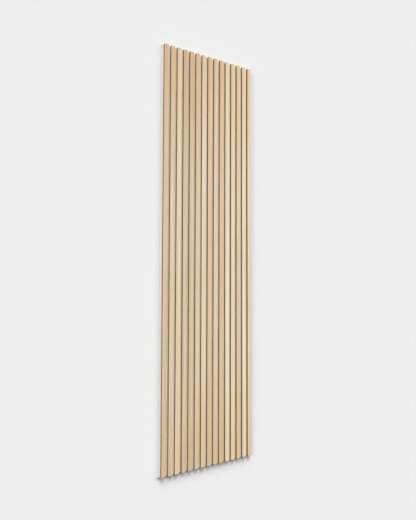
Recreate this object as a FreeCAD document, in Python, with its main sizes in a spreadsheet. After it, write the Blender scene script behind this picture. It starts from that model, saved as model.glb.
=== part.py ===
import FreeCAD, Part
import Sketcher
import os

# Acoustic slat wall panel: veneered slats fixed side by side on a felt board that goes against a wall.
# Millimetres. X runs across the panel, Z runs up along the slats, and Y runs into the wall.
# The origin is the middle of the felt's back face, and the slats face -Y.

doc = FreeCAD.newDocument("slat_panel")
sheet = doc.addObject("Spreadsheet::Sheet", "sheet")

DRIVING_DIMENSIONS = (
    ("panel_height", 2400, "length of the felt board and of every slat"),
    ("slat_count", 15, "slats side by side"),
    ("slat_width", 27, "width of one slat"),
    ("slat_gap", 13, "bare felt left of every slat; the last slat ends level with the felt"),
    ("felt_thickness", 9, "pressed felt board"),
    ("core_thickness", 11.4, "fibreboard core of a slat"),
    ("veneer_thickness", 0.6, "wood veneer on the face of a slat"),
    ("edge_ease", 0.4, "sanded arris along both front edges of a veneer"),
    ("staple_rows", 6, "staples along one slat"),
    ("staple_end_distance", 100, "end of a slat to the middle of its last staple"),
    ("staple_crown", 12, "outside length of a staple's crown"),
    ("wire_width", 1.2, "staple wire across the slat"),
    ("wire_thickness", 0.9, "staple wire in the plane of its bend"),
    ("staple_recess", 0.5, "back of the felt to the back of a driven crown"),
    ("tip_cover", 3.9, "core left between a staple's tips and the veneer"),
)

for row, (alias, value, meaning) in enumerate(DRIVING_DIMENSIONS, start=1):
    sheet.set(f"A{row}", meaning)
    sheet.set(f"B{row}", str(value))
    sheet.setAlias(f"B{row}", alias)
doc.recompute()

# Places that several pieces share, worked out from the driving dimensions.
SLAT_PITCH = "(sheet.slat_width + sheet.slat_gap)"
SLAT_SPAN = f"((sheet.slat_count - 1) * {SLAT_PITCH})"
PANEL_WIDTH = f"(sheet.slat_count * {SLAT_PITCH})"
ROW_SPAN = "(sheet.panel_height - 2 * sheet.staple_end_distance)"
FIRST_SLAT = f"(-{PANEL_WIDTH} / 2 + sheet.slat_gap + sheet.slat_width / 2)"
FIRST_ROW = f"(-{ROW_SPAN} / 2)"
CORE_BACK = "(-sheet.felt_thickness)"
CORE_FRONT = "(-sheet.felt_thickness - sheet.core_thickness)"
VENEER_FRONT = f"({CORE_FRONT} - sheet.veneer_thickness)"
DEEPEST_EASE = "(0.75 * sheet.veneer_thickness)"


def new_body(name):
    """An empty body whose label names its file."""
    body = doc.addObject("PartDesign::Body", name)
    body.Label = name
    return body


def origin_feature(body, role):
    """The plane or axis of the body's own origin that has this role."""
    return next(feature for feature in body.Origin.OriginFeatures if feature.Role == role)


def outline_sketch(body, name, plane, corners):
    """A closed outline on an origin plane, each corner held by the expressions of its two coordinates."""
    sketch = body.newObject("Sketcher::SketchObject", name)
    sketch.AttachmentSupport = [(origin_feature(body, plane), "")]
    sketch.MapMode = "FlatFace"
    points = [FreeCAD.Vector(sketch.evalExpression(u), sketch.evalExpression(v), 0) for u, v in corners]
    for index, point in enumerate(points):
        following = points[(index + 1) % len(points)]
        sketch.addGeometry(Part.LineSegment(point, following), False)
    for index, point in enumerate(points):
        following = (index + 1) % len(points)
        sketch.addConstraint(Sketcher.Constraint("Coincident", index, 2, following, 1))
        for kind, value, expression in zip(("DistanceX", "DistanceY"), point, corners[index]):
            constraint = sketch.addConstraint(Sketcher.Constraint(kind, -1, 1, index, 1, value))
            sketch.setExpression(f"Constraints[{constraint}]", expression)
    return sketch


def staple_sketch(body, name, crown_back, first_x, first_z):
    """The staple's outline seen from the side of the slat, at the place of its first staple.

    The legs leave the crown at right angles and end in chisel points, longest on the outside.
    """
    crown_front = "(-sheet.staple_recess - sheet.wire_thickness)"
    tip = f"({CORE_FRONT} + sheet.tip_cover)"
    bevel_end = f"({tip} + sheet.wire_thickness)"
    outside = "(sheet.staple_crown / 2)"
    inside = "(sheet.staple_crown / 2 - sheet.wire_thickness)"
    upper = [(crown_back, outside), (tip, outside), (bevel_end, inside), (crown_front, inside)]
    lower = [(y, f"(-{z})") for y, z in reversed(upper)]
    sketch = outline_sketch(body, name, "YZ_Plane", upper + lower)
    sketch.setExpression("AttachmentOffset.Base.z", first_x)
    sketch.setExpression("AttachmentOffset.Base.y", first_z)
    return sketch


def extrude(body, kind, sketch, length):
    """A pad or pocket of the sketch, half of its length to each side of the sketch plane."""
    feature = body.newObject(f"PartDesign::{kind}", f"{sketch.Name}_{kind.lower()}")
    feature.Profile = sketch
    feature.SideType = "Symmetric"
    feature.setExpression("Length", length)
    return feature


def set_pattern(pattern, body, axis, span, count):
    """Copies spread evenly along an axis of the body."""
    pattern.Direction = (origin_feature(body, axis), [""])
    pattern.setExpression("Length", span)
    pattern.setExpression("Occurrences", count)


def repeat_along_slat(body, feature):
    """The feature again at every staple row."""
    pattern = body.newObject("PartDesign::LinearPattern", f"{feature.Name}_rows")
    pattern.Originals = [feature]
    set_pattern(pattern, body, "Z_Axis", ROW_SPAN, "sheet.staple_rows")
    body.Tip = pattern


def repeat_over_panel(body, feature):
    """The feature again at every staple row of every slat."""
    grid = body.newObject("PartDesign::MultiTransform", f"{feature.Name}_grid")
    grid.Originals = [feature]
    across = body.newObject("PartDesign::LinearPattern", f"{feature.Name}_across")
    set_pattern(across, body, "X_Axis", SLAT_SPAN, "sheet.slat_count")
    along = body.newObject("PartDesign::LinearPattern", f"{feature.Name}_along")
    set_pattern(along, body, "Z_Axis", ROW_SPAN, "sheet.staple_rows")
    grid.Transformations = [across, along]
    body.Tip = grid


def felt_backing():
    """One felt board cut to the panel's outline, with a slit and a groove at every staple."""
    body = new_body("felt_backing")
    side = f"({PANEL_WIDTH} / 2)"
    end = "(sheet.panel_height / 2)"
    corners = [(f"-{side}", f"-{end}"), (side, f"-{end}"), (side, end), (f"-{side}", end)]
    board = body.newObject("PartDesign::Pad", "felt_board")
    board.Profile = outline_sketch(body, "felt_outline", "XZ_Plane", corners)
    board.setExpression("Length", "sheet.felt_thickness")
    doc.recompute()
    slit_outline = staple_sketch(body, "felt_slit", "0", FIRST_SLAT, FIRST_ROW)
    repeat_over_panel(body, extrude(body, "Pocket", slit_outline, "sheet.wire_width"))
    return body


def place_on_slat(body, index):
    """The body moved across to its slat."""
    body.setExpression("Placement.Base.x", f"{FIRST_SLAT} + {index} * {SLAT_PITCH}")


def slat_core(index):
    """A fibreboard strip with two blind slits at every staple."""
    body = new_body(f"slat_core_{index + 1:02d}")
    side = "(sheet.slat_width / 2)"
    corners = [(side, CORE_BACK), (side, CORE_FRONT), (f"(-{side})", CORE_FRONT), (f"(-{side})", CORE_BACK)]
    section = outline_sketch(body, f"core_section_{index + 1:02d}", "XY_Plane", corners)
    extrude(body, "Pad", section, "sheet.panel_height")
    doc.recompute()
    slit_outline = staple_sketch(body, f"core_slit_{index + 1:02d}", "0", "0", FIRST_ROW)
    repeat_along_slat(body, extrude(body, "Pocket", slit_outline, "sheet.wire_width"))
    place_on_slat(body, index)
    return body


def face_veneer(index):
    """A veneer strip as wide as its core, with both front arrises sanded."""
    body = new_body(f"face_veneer_{index + 1:02d}")
    side = "(sheet.slat_width / 2)"
    ease = f"min(sheet.edge_ease; {DEEPEST_EASE})"
    right = [(side, CORE_FRONT), (side, f"({VENEER_FRONT} + {ease})"), (f"({side} - {ease})", VENEER_FRONT)]
    left = [(f"(-{x})", y) for x, y in reversed(right)]
    section = outline_sketch(body, f"veneer_section_{index + 1:02d}", "XY_Plane", right + left)
    extrude(body, "Pad", section, "sheet.panel_height")
    place_on_slat(body, index)
    return body


def staples():
    """All the staples, driven from the back through the felt into the cores."""
    body = new_body("staples")
    outline = staple_sketch(body, "staple_outline", "(-sheet.staple_recess)", FIRST_SLAT, FIRST_ROW)
    wire = extrude(body, "Pad", outline, "sheet.wire_width")
    doc.recompute()
    repeat_over_panel(body, wire)
    return body


slat_count = int(sheet.get("slat_count"))
subparts = [felt_backing()]
subparts += [slat_core(index) for index in range(slat_count)]
subparts += [face_veneer(index) for index in range(slat_count)]
subparts.append(staples())
doc.recompute()

for item in doc.Objects:
    if "Invalid" in item.State or "Error" in item.State:
        raise RuntimeError(f"{item.Name} did not compute: {item.State}")
    if item.isDerivedFrom("PartDesign::Pocket") and item.Shape.Volume >= item.BaseFeature.Shape.Volume:
        raise RuntimeError(f"{item.Name} cut nothing")

os.makedirs("parts", exist_ok=True)
for body in subparts:
    if body.Shape.isNull() or not body.Shape.isValid():
        raise RuntimeError(f"{body.Label} has no valid shape")
    body.Shape.exportStep(f"parts/{body.Label}.step")
    print(f"{body.Label}: {len(body.Shape.Solids)} solids, {body.Shape.Volume / 1000:.1f} cm3")
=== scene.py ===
import math
import bpy
from mathutils import Matrix, Vector, noise


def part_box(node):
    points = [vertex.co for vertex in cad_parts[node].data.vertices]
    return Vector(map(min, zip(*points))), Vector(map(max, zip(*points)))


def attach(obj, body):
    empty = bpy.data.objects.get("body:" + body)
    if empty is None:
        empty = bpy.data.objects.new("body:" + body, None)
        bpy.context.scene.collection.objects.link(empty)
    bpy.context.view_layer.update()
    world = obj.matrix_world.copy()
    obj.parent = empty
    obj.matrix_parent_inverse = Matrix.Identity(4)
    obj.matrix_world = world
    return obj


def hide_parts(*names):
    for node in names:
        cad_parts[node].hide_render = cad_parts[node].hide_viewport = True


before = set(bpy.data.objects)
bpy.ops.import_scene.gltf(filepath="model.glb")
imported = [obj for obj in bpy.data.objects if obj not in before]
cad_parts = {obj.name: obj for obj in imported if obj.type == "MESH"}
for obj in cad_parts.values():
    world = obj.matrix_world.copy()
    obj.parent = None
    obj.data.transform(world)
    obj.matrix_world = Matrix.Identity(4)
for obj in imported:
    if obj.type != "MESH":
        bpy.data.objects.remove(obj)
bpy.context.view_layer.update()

# The felt board: short polyester fibres, needled and pressed into one stiff sheet 9 mm thick and cut to the
# panel's outline. The slats are glued and stapled onto its front, so it swells a little in the gaps between
# them, and its back is drawn in round the crown of every staple.
MM = 0.001
FELT_SWELL = 0.25 * MM
SWELL_RUN = 3 * MM
STAPLE_ROWS = 6
CROWN_LENGTH = 12 * MM
PUCKER_DEPTH = 1.0 * MM
PUCKER_REACH = 3.2 * MM
PUCKER_STEPS = (1.4 * MM, 2.8 * MM, 4.6 * MM, 7.5 * MM)
CUT_RAGGEDNESS = 0.2 * MM
RAGS_PER_METRE = 90
CUT_EDGE_RADIUS = 0.7 * MM
CUT_EDGE_FACETS = 3
CUT_EDGE_ANGLE = math.radians(60)
CUT_EDGE_INSET = 2 * MM
FELT_MESH_STEP = 34 * MM
FELT_PALE = (0.93, 0.91, 0.875)
FELT_GREY = (0.76, 0.74, 0.705)
CLOUDS_PER_METRE = 25
TUFTS_PER_METRE = 320
FIBRE_LAYERS_PER_METRE = 900
FIBRE_WANDER = 60 * MM
NAP_DEPTH = 0.5 * MM

felt_low, felt_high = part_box("felt_backing")
core_names = sorted(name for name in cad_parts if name.startswith("slat_core"))
core_boxes = [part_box(name) for name in core_names]
slat_sides = [(low.x, high.x) for low, high in core_boxes]
slat_middles = [(left + right) / 2 for left, right in slat_sides]
staples_low, staples_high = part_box("staples")
first_row = staples_low.z + CROWN_LENGTH / 2
row_pitch = (staples_high.z - staples_low.z - CROWN_LENGTH) / (STAPLE_ROWS - 1)
staple_rows = [first_row + row * row_pitch for row in range(STAPLE_ROWS)]


def swell(x):
    """How far the felt's front stands out at x: most in a gap, and nothing under a slat or at a cut edge."""
    if any(left <= x <= right for left, right in slat_sides):
        return 0.0
    edges = [felt_low.x] + [side for sides in slat_sides for side in sides]
    share = min(min(abs(x - edge) for edge in edges) / SWELL_RUN, 1)
    return FELT_SWELL * share * share * (3 - 2 * share)


def pucker(x, z):
    """How deep the felt's back is drawn in at a place, by the nearest staple's crown."""
    aside = min(abs(x - middle) for middle in slat_middles)
    beyond = max(min(abs(z - row) for row in staple_rows) - CROWN_LENGTH / 2, 0)
    return PUCKER_DEPTH * math.exp(-(aside ** 2 + beyond ** 2) / PUCKER_REACH ** 2)


def divided(low, high, features, step):
    """Places from low to high: every feature, and even steps of about the given size between them."""
    marks = sorted({low, high, *(round(feature, 6) for feature in features if low < feature < high)})
    places = [low]
    for start, end in zip(marks, marks[1:]):
        steps = max(1, round((end - start) / step))
        places += [start + (end - start) * count / steps for count in range(1, steps + 1)]
    return places


def felt_mesh():
    """A closed board, finely divided in the gaps, round the staples and along its cut edges."""
    gap_marks = [side + shift for sides in slat_sides for side in sides
                 for shift in (-SWELL_RUN, 0, SWELL_RUN)]
    crown_marks = [middle + side * step for middle in slat_middles
                   for step in (0, *PUCKER_STEPS) for side in (-1, 1)]
    end_marks = [row + side * (CROWN_LENGTH / 2 - PUCKER_STEPS[0] + step)
                 for row in staple_rows for step in (0, *PUCKER_STEPS) for side in (-1, 1)]
    edge_marks = [felt_low.z + CUT_EDGE_INSET, felt_high.z - CUT_EDGE_INSET]
    columns = divided(felt_low.x, felt_high.x, gap_marks + crown_marks + [felt_low.x + CUT_EDGE_INSET],
                      FELT_MESH_STEP)
    rows = divided(felt_low.z, felt_high.z, end_marks + edge_marks, FELT_MESH_STEP)
    front, back = [], []
    for column, x in enumerate(columns):
        for row, z in enumerate(rows):
            ragged = CUT_RAGGEDNESS * (0.5 + 0.5 * noise.noise(Vector((x, 0, z)) * RAGS_PER_METRE))
            inward_x = ragged * ((column == 0) - (column == len(columns) - 1))
            inward_z = ragged * ((row == 0) - (row == len(rows) - 1))
            front.append((x + inward_x, felt_low.y - swell(x), z + inward_z))
            back.append((x + inward_x, felt_high.y - pucker(x, z), z + inward_z))
    to_back = len(front)
    tall = len(rows)
    faces = []
    for column in range(len(columns) - 1):
        for row in range(tall - 1):
            corner = column * tall + row
            square = (corner, corner + tall, corner + tall + 1, corner + 1)
            faces.append(square)
            faces.append([to_back + place for place in reversed(square)])
    right = (len(columns) - 1) * tall
    outline = [column * tall for column in range(len(columns))]
    outline += [right + row for row in range(1, tall)]
    outline += [column * tall + tall - 1 for column in range(len(columns) - 2, -1, -1)]
    outline += list(range(tall - 2, 0, -1))
    for here, following in zip(outline, outline[1:] + outline[:1]):
        faces.append((to_back + here, to_back + following, following, here))
    mesh = bpy.data.meshes.new("felt_board")
    mesh.from_pydata(front + back, [], faces)
    mesh.shade_smooth()
    return mesh


class Value:
    """One output of a node. Arithmetic on it adds Math nodes to the tree that it belongs to."""

    def __init__(self, recipe, socket):
        self.recipe = recipe
        self.socket = socket

    def output(self, name):
        """Another output of the same node."""
        return Value(self.recipe, self.socket.node.outputs[name])

    def _maths(self, operation, *values):
        """A Math node on these values."""
        return self.recipe.node("ShaderNodeMath", {"operation": operation}, dict(enumerate(values)))

    def __add__(self, other):
        return self._maths("ADD", self, other)

    def __radd__(self, other):
        return self._maths("ADD", other, self)

    def __sub__(self, other):
        return self._maths("SUBTRACT", self, other)

    def __rsub__(self, other):
        return self._maths("SUBTRACT", other, self)

    def __mul__(self, other):
        return self._maths("MULTIPLY", self, other)

    def __rmul__(self, other):
        return self._maths("MULTIPLY", other, self)

    def __truediv__(self, other):
        return self._maths("DIVIDE", self, other)

    def __gt__(self, other):
        return self._maths("GREATER_THAN", self, other)

    def __abs__(self):
        return self._maths("ABSOLUTE", self)


class Recipe:
    """A node tree, for a finish, a shape or the air of the room, filled one node at a time."""

    def __init__(self, tree):
        self.tree = tree
        tree.nodes.clear()

    def node(self, kind, settings=None, sockets=None, output=0):
        """Adds a node, its settings first and then its sockets' values or links, and returns one output."""
        made = self.tree.nodes.new(kind)
        settings = dict(settings or {})
        for number, (place, colour) in enumerate(settings.pop("stops", ())):
            ramp = made.color_ramp.elements
            stop = ramp[number] if number < len(ramp) else ramp.new(place)
            stop.position = place
            stop.color = (*colour, 1)
        for name, setting in settings.items():
            owner = made.color_ramp if name == "interpolation" and hasattr(made, "color_ramp") else made
            setattr(owner, name, setting)
        for name, value in (sockets or {}).items():
            if isinstance(value, Value):
                self.tree.links.new(value.socket, made.inputs[name])
            else:
                made.inputs[name].default_value = value
        return Value(self, made.outputs[output]) if len(made.outputs) else None

    def vector(self, x=0.0, y=0.0, z=0.0):
        """Three numbers as one vector."""
        return self.node("ShaderNodeCombineXYZ", {}, {"X": x, "Y": y, "Z": z})


class Finish(Recipe):
    """The recipe of one material, in metres of the object's own coordinates."""

    def __init__(self, name):
        self.material = bpy.data.materials.new(name)
        self.material.use_nodes = True
        super().__init__(self.material.node_tree)
        self.place = self.node("ShaderNodeTexCoord", output="Object")
        split = self.node("ShaderNodeSeparateXYZ", {}, {0: self.place})
        self.x, self.y, self.z = (split.output(axis) for axis in "XYZ")

    def grit(self, place, scale, detail=2.0, roughness=0.5):
        """Soft random shades about 0.5, in grains of 1 / scale."""
        return self.node("ShaderNodeTexNoise", {"noise_dimensions": "3D"}, {
            "Vector": place, "Scale": scale, "Detail": detail, "Roughness": roughness})

    def ramp(self, share, *stops, interpolation="LINEAR"):
        """The colour at a share of the way along the stops."""
        return self.node("ShaderNodeValToRGB", {"stops": stops, "interpolation": interpolation}, {0: share})

    def step(self, value, low, high):
        """0 below low and 1 above high, with a soft rise between."""
        return self.node("ShaderNodeMapRange", {"interpolation_type": "SMOOTHSTEP"}, {
            "Value": value, "From Min": low, "From Max": high})

    def blend(self, share, first, second, mode="MIX"):
        """One colour laid over another."""
        factor, under, over, result = 0, 6, 7, 2
        first, second = ((*colour, 1) if isinstance(colour, tuple) else colour for colour in (first, second))
        return self.node("ShaderNodeMix", {"data_type": "RGBA", "blend_type": mode}, {
            factor: share, under: first, over: second}, output=result)

    def relief(self, height, depth):
        """A bump as deep as the given number of metres."""
        return self.node("ShaderNodeBump", {}, {"Height": height, "Distance": depth})

    def surface(self, **sockets):
        """Ends the recipe with the surface itself and gives the material."""
        named = {name.replace("_", " "): value for name, value in sockets.items()}
        shader = self.node("ShaderNodeBsdfPrincipled", {}, named)
        self.node("ShaderNodeOutputMaterial", {}, {"Surface": shader})
        return self.material


def fibre_layer(finish, across, thin, along, long):
    """Pale fibres that lie one way: so many to a metre across them, and so many to a metre along them."""
    streaks = finish.grit(finish.vector(across * thin, finish.y * FIBRE_LAYERS_PER_METRE, along * long), 1)
    return finish.step(streaks, 0.52, 0.72)


def felt_finish():
    """Matted fibres: a faint cloudiness, tufts, pale fibres that lie in two directions, and a soft nap."""
    finish = Finish("pressed_felt")
    clouds = finish.grit(finish.place, CLOUDS_PER_METRE, detail=4)
    tufts = finish.grit(finish.place, TUFTS_PER_METRE, detail=4, roughness=0.65)
    wander = clouds * FIBRE_WANDER
    steep = fibre_layer(finish, finish.x - finish.z + wander, 1700, finish.x + finish.z, 200)
    flat = fibre_layer(finish, finish.x + 3 * finish.z - wander, 800, 3 * finish.x - finish.z + wander, 90)
    fibres = steep + flat
    mottle = 0.6 * clouds + 0.8 * tufts + 0.4 * fibres - 0.35
    colour = finish.blend(mottle, FELT_GREY, FELT_PALE)
    nap = finish.relief(tufts + 0.1 * fibres, NAP_DEPTH)
    return finish.surface(Base_Color=colour, Roughness=0.95, Normal=nap,
                          Sheen_Weight=0.1, Sheen_Roughness=0.6)


felt_board = bpy.data.objects.new("felt_board", felt_mesh())
bpy.context.scene.collection.objects.link(felt_board)
soft_edges = felt_board.modifiers.new("soft_edges", "BEVEL")
soft_edges.width = CUT_EDGE_RADIUS
soft_edges.segments = CUT_EDGE_FACETS
soft_edges.limit_method = "ANGLE"
soft_edges.angle_limit = CUT_EDGE_ANGLE
felt_board.data.materials.append(felt_finish())
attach(felt_board, "root")
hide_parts("felt_backing")

# The slat cores: fifteen strips of brown fibreboard, ripped from a sheet on a multi-blade saw and cut square
# at both ends. They keep the frame's own meshes, with the slits that the staples pinch. Only their sawn sides
# and ends show, with the board's darker pressed skins at the front and back.
CORE_BROWN = (0.230, 0.112, 0.007)
CORE_DARK = (0.155, 0.073, 0.004)
CORE_CHIP = (0.34, 0.178, 0.022)
CHIPS_PER_METRE = 750
PATCHES_PER_METRE = 45
SAW_PITCH = 2.1 * MM
SAW_DEPTH = 0.15 * MM
SKIN_DEPTH = 1.6 * MM

core_front = core_boxes[0][0].y
core_back = core_boxes[0][1].y


def core_finish():
    """Ground wood fibre: fine chips in a brown body, dense skins, and the faint ticks of the saw."""
    finish = Finish("sawn_fibreboard")
    chips = finish.grit(finish.place, CHIPS_PER_METRE, detail=6, roughness=0.75)
    patches = finish.grit(finish.place, PATCHES_PER_METRE, detail=2)
    depth = abs(finish.y - (core_front + core_back) / 2)
    skin = finish.step(depth, (core_back - core_front) / 2 - SKIN_DEPTH, (core_back - core_front) / 2)
    body = finish.blend(finish.step(chips, 0.35, 0.75), CORE_BROWN, CORE_CHIP)
    colour = finish.blend(skin * 0.5 + patches * 0.4, body, CORE_DARK)
    # A wave texture has a band every pi / 10 / scale.
    wave_scale = math.pi / 10 / SAW_PITCH
    ticks = finish.node("ShaderNodeTexWave", {"wave_type": "BANDS", "bands_direction": "Z"}, {
        "Vector": finish.place, "Scale": wave_scale, "Distortion": 1.5, "Detail": 1.0})
    sawn = finish.relief(chips + 0.3 * ticks, SAW_DEPTH)
    return finish.surface(Base_Color=colour, Roughness=0.88, Normal=sawn, Specular_IOR_Level=0.15)


sawn_fibreboard = core_finish()
for name in core_names:
    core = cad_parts[name]
    core.data.materials.clear()
    core.data.materials.append(sawn_fibreboard)

# The veneers: a leaf of pale, straight-grained wood 0.6 mm thick, pressed onto the front of each core before
# the sheet was ripped, then sanded, lacquered matt and eased along both front arrises. Neighbouring slats
# come from different leaves, so each has its own tone and its own run of grain.
ARRIS_RADIUS = 0.4 * MM
ARRIS_FACETS = 3
# Painted sheen: every leaf is painted palest at this height, as if lit by a lamp's reflection, stays so for
# this far up and down, and is reddest past the last reach.
SHEEN_MIDDLE = -120 * MM
SHEEN_REACH = 300 * MM
SHEEN_FADE_REACH = 1450 * MM
LEAF_TONES = {
    "shaded": (0.710, 0.581, 0.403),
    "tan": (0.757, 0.608, 0.411),
    "honey": (0.757, 0.587, 0.385),
    "even": (0.759, 0.623, 0.436),
    "pale": (0.829, 0.707, 0.533),
    "cream": (0.867, 0.763, 0.599),
}
LEAVES = ("shaded", "tan", "pale", "shaded", "shaded", "tan", "pale", "honey", "even", "honey",
          "cream", "pale", "even", "cream", "pale")
LATE_WOOD_TINT = (0.775, 0.705, 0.575)
BLUSH_TINT = (0.965, 0.93, 0.88)
BEYOND_SHEEN_TINT = (0.89, 0.775, 0.64)
PORE_TINT = (0.62, 0.52, 0.38)
GRAIN_WANDER = 9 * MM
GRAIN_DEPTH = 0.05 * MM
# The figure of the wood: how many to a metre across the slat and along it, and the shift from leaf to leaf.
BANDS = (150, 0.55, 4.7)
LINES = (900, 2.2, 2.3)
PORES = (1900, 65, 1.9)
BLUSHES = (45, 1.5, 5.3)

leaf_names = sorted(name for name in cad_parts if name.startswith("face_veneer"))
leaf_low, leaf_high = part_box(leaf_names[0])
slat_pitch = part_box(leaf_names[1])[0].x - leaf_low.x


class Shape(Recipe):
    """A Geometry Nodes tree with named sizes, which makes one plain mesh."""

    KINDS = {int: "NodeSocketInt", float: "NodeSocketFloat", Vector: "NodeSocketVector",
             bpy.types.Material: "NodeSocketMaterial"}

    def __init__(self, name, **sizes):
        super().__init__(bpy.data.node_groups.new(name, "GeometryNodeTree"))
        self.name = name
        self.values = {}
        for size, value in sizes.items():
            socket = self.tree.interface.new_socket(size, in_out="INPUT", socket_type=self.KINDS[type(value)])
            self.values[socket.identifier] = value
        self.tree.interface.new_socket("mesh", in_out="OUTPUT", socket_type="NodeSocketGeometry")
        inputs = self.node("NodeGroupInput")
        self.sizes = {size: inputs.output(size) for size in sizes}

    def repeat(self, piece, places, count_as):
        """The piece at every place, each copy's number kept under the given name, as one mesh."""
        copies = self.node("GeometryNodeInstanceOnPoints", {}, {"Points": places, "Instance": piece})
        per_copy = {"data_type": "FLOAT", "domain": "INSTANCE"}
        numbered = self.node("GeometryNodeStoreNamedAttribute", per_copy, {
            "Geometry": copies, "Name": count_as, "Value": self.node("GeometryNodeInputIndex")})
        whole = self.node("GeometryNodeRealizeInstances", {}, {"Geometry": numbered})
        return self.node("GeometryNodeSetMaterial", {}, {"Geometry": whole, "Material": self.sizes["finish"]})

    def build(self, mesh):
        """Runs the tree once and gives an object that holds the plain mesh."""
        self.node("NodeGroupOutput", {}, {"mesh": mesh})
        piece = bpy.data.objects.new(self.name, bpy.data.meshes.new("empty"))
        bpy.context.scene.collection.objects.link(piece)
        maker = piece.modifiers.new(self.name, "NODES")
        maker.node_group = self.tree
        for identifier, value in self.values.items():
            maker[identifier] = value
        made = piece.evaluated_get(bpy.context.evaluated_depsgraph_get())
        plain = bpy.data.meshes.new_from_object(made)
        plain.name = self.name
        finish = next(material for material in plain.materials if material)
        plain.materials.clear()
        plain.materials.append(finish)
        piece.modifiers.remove(maker)
        piece.data = plain
        return piece


def figure(finish, across, leaf, fineness, **grain):
    """Random shades drawn out along the slat, and different on every leaf."""
    to_metre_across, to_metre_along, leaf_shift = fineness
    place = finish.vector(across * to_metre_across, leaf * leaf_shift, finish.z * to_metre_along)
    return finish.grit(place, 1, **grain)


def veneer_finish():
    """Straight grain that runs up the slat: broad soft bands, fine lines and short dark pores.

    The tone drifts slowly along a leaf, and all the leaves carry a painted sheen: palest round one height and
    redder towards both ends.
    """
    finish = Finish("lacquered_veneer")
    leaf = finish.node("ShaderNodeAttribute", {"attribute_name": "leaf"}, output="Fac")
    drift = finish.grit(finish.vector(leaf * 3.1, 0.0, finish.z), 1.3, detail=1)
    across = finish.x + drift * GRAIN_WANDER
    bands = figure(finish, across, leaf, BANDS, detail=1)
    lines = figure(finish, across, leaf, LINES, detail=3, roughness=0.6)
    pores = figure(finish, finish.x, leaf, PORES, detail=2)
    blush = figure(finish, across, leaf, BLUSHES, detail=2)
    stops = [(number / len(LEAVES), LEAF_TONES[tone]) for number, tone in enumerate(LEAVES)]
    tone = finish.ramp((leaf + 0.5) / len(LEAVES), *stops, interpolation="CONSTANT")
    late_wood = finish.step(bands, 0.38, 0.66) * 0.58 + finish.step(lines, 0.42, 0.66) * 0.42
    grained = finish.blend(late_wood * 0.9, tone, LATE_WOOD_TINT, mode="MULTIPLY")
    flushed = finish.blend(finish.step(blush, 0.35, 0.70), grained, BLUSH_TINT, mode="MULTIPLY")
    # Painted sheen: the leaves are left palest round one height, where a lamp's reflection would lie, and are
    # tinted redder towards both ends.
    ends = finish.step(abs(finish.z - SHEEN_MIDDLE), SHEEN_REACH, SHEEN_FADE_REACH)
    sheen_painted = finish.blend(ends, flushed, BEYOND_SHEEN_TINT, mode="MULTIPLY")
    pore = finish.step(pores, 0.62, 0.72)
    colour = finish.blend(pore * 0.4, sheen_painted, PORE_TINT, mode="MULTIPLY")
    relief = finish.relief(0.5 * lines - 0.5 * pore, GRAIN_DEPTH)
    return finish.surface(Base_Color=colour, Roughness=0.40 + 0.06 * late_wood, Normal=relief)


leaves = Shape("veneer_faces", leaf_width=leaf_high.x - leaf_low.x, leaf_thickness=leaf_high.y - leaf_low.y,
               leaf_bottom=Vector((0, 0, leaf_low.z)), leaf_top=Vector((0, 0, leaf_high.z)),
               arris_radius=ARRIS_RADIUS, slat_count=len(leaf_names), finish=veneer_finish(),
               first_leaf=Vector((slat_middles[0], (leaf_low.y + leaf_high.y) / 2, 0)),
               next_leaf=Vector((slat_pitch, 0, 0)))
size = leaves.sizes
section = leaves.node("GeometryNodeCurvePrimitiveQuadrilateral", {"mode": "RECTANGLE"}, {
    "Width": size["leaf_width"], "Height": size["leaf_thickness"]})
front_corner = leaves.node("GeometryNodeInputIndex") > 1.5
eased = leaves.node("GeometryNodeFilletCurve", {"mode": "POLY"}, {
    "Curve": section, "Count": ARRIS_FACETS, "Limit Radius": True,
    "Radius": front_corner * size["arris_radius"]})
length = leaves.node("GeometryNodeCurvePrimitiveLine", {"mode": "POINTS"}, {
    "Start": size["leaf_bottom"], "End": size["leaf_top"]})
leaf = leaves.node("GeometryNodeCurveToMesh", {}, {
    "Curve": length, "Profile Curve": eased, "Fill Caps": True})
row_of_slats = leaves.node("GeometryNodeMeshLine", {"mode": "OFFSET"}, {
    "Count": size["slat_count"], "Start Location": size["first_leaf"], "Offset": size["next_leaf"]})
veneer_faces = leaves.build(leaves.repeat(leaf, row_of_slats, "leaf"))
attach(veneer_faces, "root")
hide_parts(*leaf_names)

# The staples: U-shaped galvanised wire, shot from behind through the felt into every core, six along each
# slat. The wire is flattened, bent to a tight radius at both ends of the crown and cut to chisel points, and
# the crowns lie sunk in the puckers of the felt.
WIRE_WIDTH = 1.2 * MM
WIRE_THICKNESS = 0.9 * MM
WIRE_EDGE = 0.25 * MM
BEND_RADIUS = 0.9 * MM
BEND_FACETS = 4
EDGE_FACETS = 2
ZINC = (0.60, 0.61, 0.62)
ZINC_DULL = (0.46, 0.47, 0.49)
SPANGLES_PER_METRE = 700
DRAWN_LINES_PER_METRE = 9000
DRAWN_LINE_DEPTH = 0.02 * MM


def wire_finish():
    """Drawn wire with a thin, slightly spangled coat of zinc."""
    finish = Finish("galvanised_wire")
    spangle = finish.grit(finish.place, SPANGLES_PER_METRE, detail=2)
    stretched = finish.vector(finish.x, finish.y * 0.1, finish.z * 0.1)
    drawn = finish.grit(stretched, DRAWN_LINES_PER_METRE, detail=2)
    colour = finish.blend(finish.step(spangle, 0.35, 0.65), ZINC_DULL, ZINC)
    return finish.surface(Base_Color=colour, Metallic=1.0, Roughness=0.28 + 0.25 * spangle,
                          Normal=finish.relief(drawn, DRAWN_LINE_DEPTH))


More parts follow.
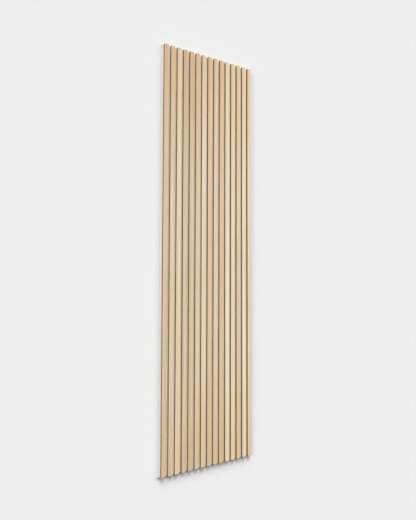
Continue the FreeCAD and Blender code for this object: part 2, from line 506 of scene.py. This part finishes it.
wires = Shape("staple_wires", crown_length=CROWN_LENGTH, wire_width=WIRE_WIDTH, wire_thickness=WIRE_THICKNESS,
              wire_edge=WIRE_EDGE, bend_radius=BEND_RADIUS, crown_back=staples_high.y, tips=staples_low.y,
              slat_count=len(core_names), row_count=STAPLE_ROWS, slat_span=slat_middles[-1] - slat_middles[0],
              row_span=staple_rows[-1] - staple_rows[0], finish=wire_finish(),
              middle=Vector(((slat_middles[0] + slat_middles[-1]) / 2, 0, 0)))
size = wires.sizes
# The bent wire's line has four corners, from end to end: tip, bend, bend and tip.
corner = wires.node("GeometryNodeInputIndex")
at_tip = abs(corner - 1.5) > 1
upper_leg = corner > 1.5
crown_middle = size["crown_back"] - size["wire_thickness"] / 2
bent = wires.node("GeometryNodeSetPosition", {}, {
    "Geometry": wires.node("GeometryNodeMeshLine", {}, {"Count": 4}),
    "Position": wires.vector(y=crown_middle + at_tip * (size["tips"] - crown_middle),
                             z=(upper_leg - 0.5) * (size["crown_length"] - size["wire_thickness"]))})
centre_line = wires.node("GeometryNodeFilletCurve", {"mode": "POLY"}, {
    "Curve": wires.node("GeometryNodeMeshToCurve", {}, {"Mesh": bent}),
    "Count": BEND_FACETS, "Radius": size["bend_radius"] * (1 - at_tip), "Limit Radius": True})
flat_wire = wires.node("GeometryNodeFilletCurve", {"mode": "POLY"}, {
    "Curve": wires.node("GeometryNodeCurvePrimitiveQuadrilateral", {"mode": "RECTANGLE"}, {
        "Width": size["wire_width"], "Height": size["wire_thickness"]}),
    "Count": EDGE_FACETS, "Radius": size["wire_edge"], "Limit Radius": True})
blunt = wires.node("GeometryNodeCurveToMesh", {}, {
    "Curve": centre_line, "Profile Curve": flat_wire, "Fill Caps": True})
# Each leg's end is drawn out to a chisel point, longest on its outside.
spot = wires.node("ShaderNodeSeparateXYZ", {}, {0: wires.node("GeometryNodeInputPosition")})
cut_end = (size["tips"] + size["wire_thickness"] / 10) > spot.output("Y")
staple = wires.node("GeometryNodeSetPosition", {}, {
    "Geometry": blunt, "Selection": cut_end,
    "Offset": wires.vector(y=size["crown_length"] / 2 - abs(spot.output("Z")))})
flat_grid = wires.node("GeometryNodeMeshGrid", {}, {
    "Size X": size["slat_span"], "Size Y": size["row_span"],
    "Vertices X": size["slat_count"], "Vertices Y": size["row_count"]})
upright_grid = wires.node("GeometryNodeTransform", {}, {
    "Geometry": flat_grid, "Translation": size["middle"], "Rotation": (math.radians(90), 0, 0)})
staple_wires = wires.build(wires.repeat(staple, upright_grid, "staple"))
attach(staple_wires, "root")
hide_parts("staples")

# The studio: soft light that comes mostly from above, a pale wall right behind the panel and a pale floor
# well below it. Only the camera sees them, and the wall only from its front, so that light reaches every side
# of the panel and its back can be looked at. Both are painted to render as the same pale grey.
BACKGROUND = 0.855
SKY_LEVEL = 0.06
SKY_LEAN = 1.0
WALL_GAP = 0.5 * MM
FLOOR_Z = -2.15
STAGE_REACH = 40.0

world = bpy.data.worlds.new("studio")
world.use_nodes = True
bpy.context.scene.world = world
air = Recipe(world.node_tree)
ray = air.node("ShaderNodeLightPath")
seen = ray.output("Is Camera Ray") + ray.output("Is Glossy Ray") + ray.output("Is Transmission Ray") > 0.5
towards = air.node("ShaderNodeTexCoord", output="Generated")
sky = (air.node("ShaderNodeSeparateXYZ", {}, {0: towards}, output="Z") * SKY_LEAN + 1) * SKY_LEVEL
air.node("ShaderNodeOutputWorld", {}, {"Surface": air.node("ShaderNodeBackground", {}, {
    "Color": (1, 1, 1, 1), "Strength": sky + seen * (BACKGROUND - sky)})})

# The wall faces both halves of the sky, and the floor only the upper one, which is brighter.
wall_light = SKY_LEVEL
floor_light = SKY_LEVEL * (1 + SKY_LEAN * 2 / 3)


def soft_sun(name, direction, level, spread):
    """A distant soft lamp. Its level is the light that it adds to a wall it faces.

    Gives its light on the floor, which is none from a lamp below it.
    """
    lamp = bpy.data.lights.new(name, "SUN")
    direction = Vector(direction).normalized()
    lamp.energy = level * math.pi / abs(direction.y)
    lamp.angle = math.radians(spread)
    holder = bpy.data.objects.new(name, lamp)
    holder.rotation_mode = "QUATERNION"
    holder.rotation_quaternion = direction.to_track_quat("Z", "Y")
    bpy.context.scene.collection.objects.link(holder)
    return max(level * direction.z / abs(direction.y), 0)


# Two high lamps shine down the gaps, one from each side lights the slats' flanks, and a weak low one fills
# the shadow under the panel. The last lights the back. A direction points from the panel to its lamp.
for name, direction, level, spread in (
        ("upper_left", (-0.42, -1.0, 2.20), 0.27, 25),
        ("upper_right", (0.26, -1.0, 2.20), 0.25, 25),
        ("side_left", (-1.75, -1.0, 0.9), 0.19, 26),
        ("side_right", (1.30, -1.0, 0.9), 0.20, 22),
        ("low_fill", (0.30, -1.0, -0.60), 0.09, 30)):
    floor_light += soft_sun(name, direction, level, spread)
    wall_light += level
floor_light += soft_sun("behind", (-0.30, 0.90, 0.30), 0.70, 50)


def stage_sheet(name, corners, light):
    """A flat sheet that only the camera sees, from its front, in the tone that gives the background."""
    mesh = bpy.data.meshes.new(name)
    mesh.from_pydata(corners, [], [range(len(corners))])
    sheet = bpy.data.objects.new(name, mesh)
    bpy.context.scene.collection.objects.link(sheet)
    finish = Finish(name)
    tone = BACKGROUND / light
    paint = finish.node("ShaderNodeBsdfDiffuse", {}, {"Color": (tone, tone, tone, 1)})
    clear = finish.node("ShaderNodeBsdfTransparent")
    behind = finish.node("ShaderNodeNewGeometry", output="Backfacing")
    sided = finish.node("ShaderNodeMixShader", {}, {0: behind, 1: paint, 2: clear})
    finish.node("ShaderNodeOutputMaterial", {}, {"Surface": sided})
    mesh.materials.append(finish.material)
    for kind in ("diffuse", "glossy", "transmission", "volume_scatter", "shadow"):
        setattr(sheet, f"visible_{kind}", False)


far = STAGE_REACH
stage_sheet("wall", [(-far, WALL_GAP, FLOOR_Z), (far, WALL_GAP, FLOOR_Z), (far, WALL_GAP, far),
                     (-far, WALL_GAP, far)], wall_light)
stage_sheet("floor", [(-far, -far, FLOOR_Z), (far, -far, FLOOR_Z), (far, far, FLOOR_Z),
                      (-far, far, FLOOR_Z)], floor_light)

# The camera stands left of the panel and a little below its middle, and looks slightly up and to the right.
# Its place, turn and lens were worked out from the lean of the slats and of the panel's outline.
CAMERA_PLACE = Vector((-1.0805, -2.018, -0.113))
CAMERA_YAW = math.radians(28.3)
CAMERA_PITCH = math.radians(2.4)
CAMERA_ROLL = math.radians(0.18)
CAMERA_LENS_MM = 26.85
CAMERA_FILM_MM = 36.0

camera_data = bpy.data.cameras.new("view_camera")
camera_data.sensor_fit = "AUTO"
camera_data.sensor_width = CAMERA_FILM_MM
camera_data.lens = CAMERA_LENS_MM
camera = bpy.data.objects.new("view_camera", camera_data)
bpy.context.scene.collection.objects.link(camera)
upright = Matrix.Rotation(-CAMERA_YAW, 4, "Z") @ Matrix.Rotation(math.radians(90) + CAMERA_PITCH, 4, "X")
camera.matrix_world = Matrix.Translation(CAMERA_PLACE) @ upright @ Matrix.Rotation(CAMERA_ROLL, 4, "Z")
bpy.context.scene.camera = camera
bpy.context.scene.view_settings.view_transform = "Standard"
